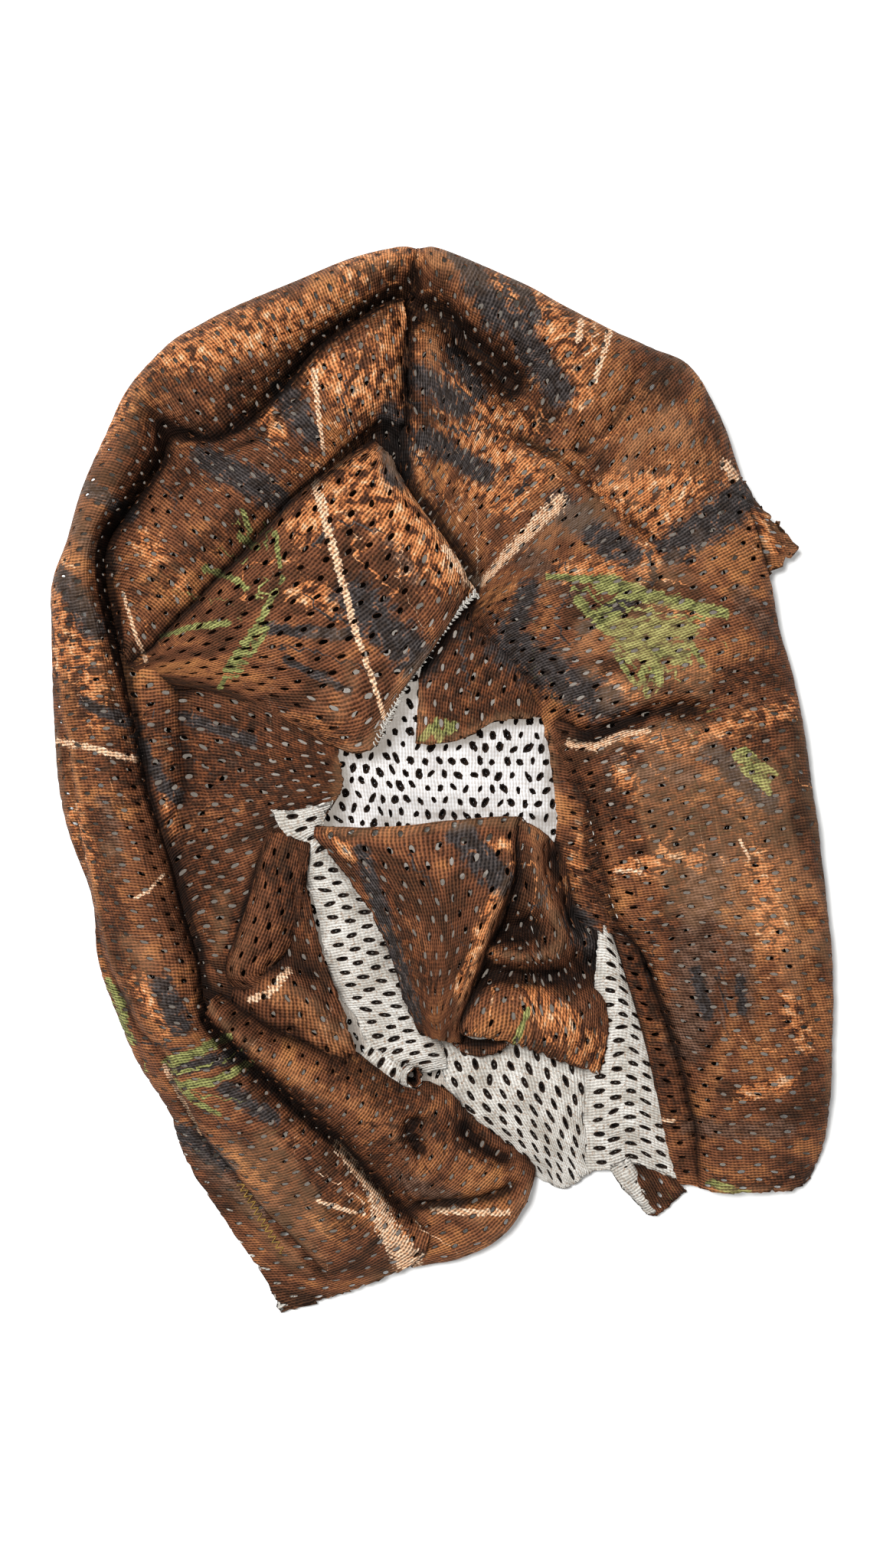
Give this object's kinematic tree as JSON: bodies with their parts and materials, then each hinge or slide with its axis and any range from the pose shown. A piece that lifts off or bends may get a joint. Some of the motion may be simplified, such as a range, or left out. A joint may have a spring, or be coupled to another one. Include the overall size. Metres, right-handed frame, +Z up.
{
  "type": "camo mesh face mask",
  "caption": "Hunting hood and face mask of printed open-knit mesh, lying on its back, with an eye opening, a loose brow flap, a folding face cover and an open neck.",
  "frame": {"origin": "centre of the footprint, on the surface that the mask lies on", "axes": "+Z up out of the surface and out of the eye opening, +Y towards the crown, +X towards the wide smooth drape; the neck opens towards -Y"},
  "size_m": [0.2555, 0.351, 0.0257],
  "materials": {
    "camo_mesh": "matte printed knit mesh, rust brown woodland print",
    "white_mesh": "matte knit mesh, unprinted inside face with brown flecks",
    "white_thread": "matte polyester sewing thread",
    "brown_thread": "matte polyester sewing thread",
    "gold_thread": "matte polyester sewing thread"
  },
  "bodies": {
    "hood": {"left_hood_panel": "camo_mesh", "right_hood_panel": "camo_mesh", "left_neck_cape": "camo_mesh", "left_hem_strip": "camo_mesh", "right_hem_strip": "camo_mesh", "inner_brow_panel": "camo_mesh", "left_cheek_panel": "camo_mesh", "left_cheek_pleat": "camo_mesh", "neck_pleats": "camo_mesh", "right_facing": "camo_mesh", "right_tab": "camo_mesh", "bottom_corner": "camo_mesh", "back_panel": "white_mesh", "neck_strip_left": "white_mesh", "neck_panel_center": "white_mesh", "neck_strip_right": "white_mesh", "crown_seam_thread": "brown_thread", "facing_stitches": "white_thread", "hem_zigzag_thread": "gold_thread"},
    "flap": {"brow_flap": "camo_mesh", "brow_edge_thread": "white_thread"},
    "cover": {"face_cover": "camo_mesh"}
  },
  "joints": [
    {"name": "flap_lift", "type": "hinge", "parent": "hood", "child": "flap", "pos_m": [-0.064, 0.079, 0.0177], "axis": [-0.7071, -0.7071, 0], "range_deg": [0, 100]},
    {"name": "cover_fold", "type": "hinge", "parent": "hood", "child": "cover", "pos_m": [0.01, -0.088, 0.0149], "axis": [1, 0, 0], "range_deg": [0, 120]}
  ]
}
